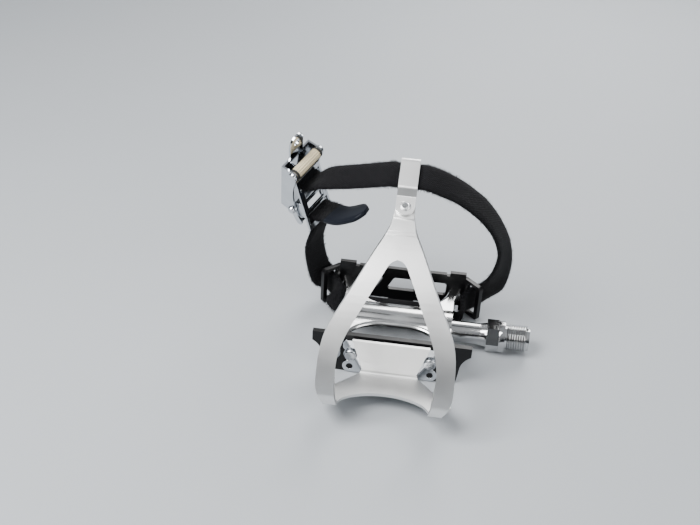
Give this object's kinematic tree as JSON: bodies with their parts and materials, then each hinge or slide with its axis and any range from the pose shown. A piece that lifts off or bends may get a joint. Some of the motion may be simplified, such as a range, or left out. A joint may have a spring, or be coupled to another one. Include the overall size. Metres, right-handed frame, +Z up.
{
  "type": "toe clip pedal",
  "caption": "One-sided road pedal for the right crank, with a forged body, dark cage plates, a folded alloy toe clip and a webbing strap with a lever buckle.",
  "frame": {"origin": "centre of the spindle shoulder's crank-side face", "axes": "+X along the spindle towards the crank, -Y to the toe side, +Z up"},
  "size_m": [0.1358, 0.1128, 0.1141],
  "materials": {
    "spindle_steel": "bright plated steel",
    "bearing_steel": "ground steel",
    "seal_rubber": "matt rubber",
    "body_alloy": "polished forging",
    "cage_black": "satin black",
    "bolt_steel": "plated steel",
    "plate_chrome": "chrome plate",
    "clip_alloy": "satin",
    "rivet_alloy": "satin",
    "strap_nylon": "woven webbing",
    "buckle_chrome": "chrome plate",
    "roller_plastic": "ivory moulding"
  },
  "bodies": {
    "spindle": {"spindle": "spindle_steel", "inner_bearing_inner_race": "bearing_steel", "outer_bearing_inner_race": "bearing_steel", "spindle_washer": "bolt_steel", "spindle_locknut": "bolt_steel"},
    "pedal": {"pedal_body": "body_alloy", "front_cage_plate": "cage_black", "rear_cage_plate": "cage_black", "front_cage_bolts": "bolt_steel", "rear_cage_bolts": "bolt_steel", "dust_cap": "body_alloy", "spindle_seal": "seal_rubber", "inner_bearing_outer_race": "bearing_steel", "outer_bearing_outer_race": "bearing_steel", "clip_backing_plate": "plate_chrome", "backing_bolts": "bolt_steel", "backing_nuts": "bolt_steel", "clip_nuts": "bolt_steel", "toe_clip": "clip_alloy", "loop_rivet": "rivet_alloy", "toe_strap": "strap_nylon", "buckle_frame": "buckle_chrome", "buckle_pin": "buckle_chrome"},
    "inner_balls": {"inner_bearing_balls": "bearing_steel"},
    "outer_balls": {"outer_bearing_balls": "bearing_steel"},
    "lever": {"buckle_lever": "buckle_chrome", "roller_pin": "buckle_chrome"},
    "roller": {"buckle_roller": "roller_plastic"}
  },
  "joints": [
    {"name": "pedal_spin", "type": "hinge", "parent": "spindle", "child": "pedal", "pos_m": [0, 0, 0], "axis": [1, 0, 0], "continuous": true},
    {"name": "inner_ball_spin", "type": "hinge", "parent": "spindle", "child": "inner_balls", "pos_m": [0, 0, 0], "axis": [1, 0, 0], "continuous": true},
    {"name": "outer_ball_spin", "type": "hinge", "parent": "spindle", "child": "outer_balls", "pos_m": [0, 0, 0], "axis": [1, 0, 0], "continuous": true},
    {"name": "lever_release", "type": "hinge", "parent": "pedal", "child": "lever", "pos_m": [-0.11127, 0.01909, 0.06168], "axis": [0.4811, 0.8119, 0.3308], "range_deg": [0, 8], "stiffness_Nm_per_rad": 0.05, "springref_deg": -11.46},
    {"name": "roller_spin", "type": "hinge", "parent": "lever", "child": "roller", "pos_m": [-0.10936, 0.00729, 0.08787], "axis": [0.4811, 0.8119, 0.3308], "continuous": true}
  ],
  "couplings": [
    {"joint": "inner_ball_spin", "follows": "pedal_spin", "ratio": 0.582},
    {"joint": "outer_ball_spin", "follows": "pedal_spin", "ratio": 0.621}
  ]
}
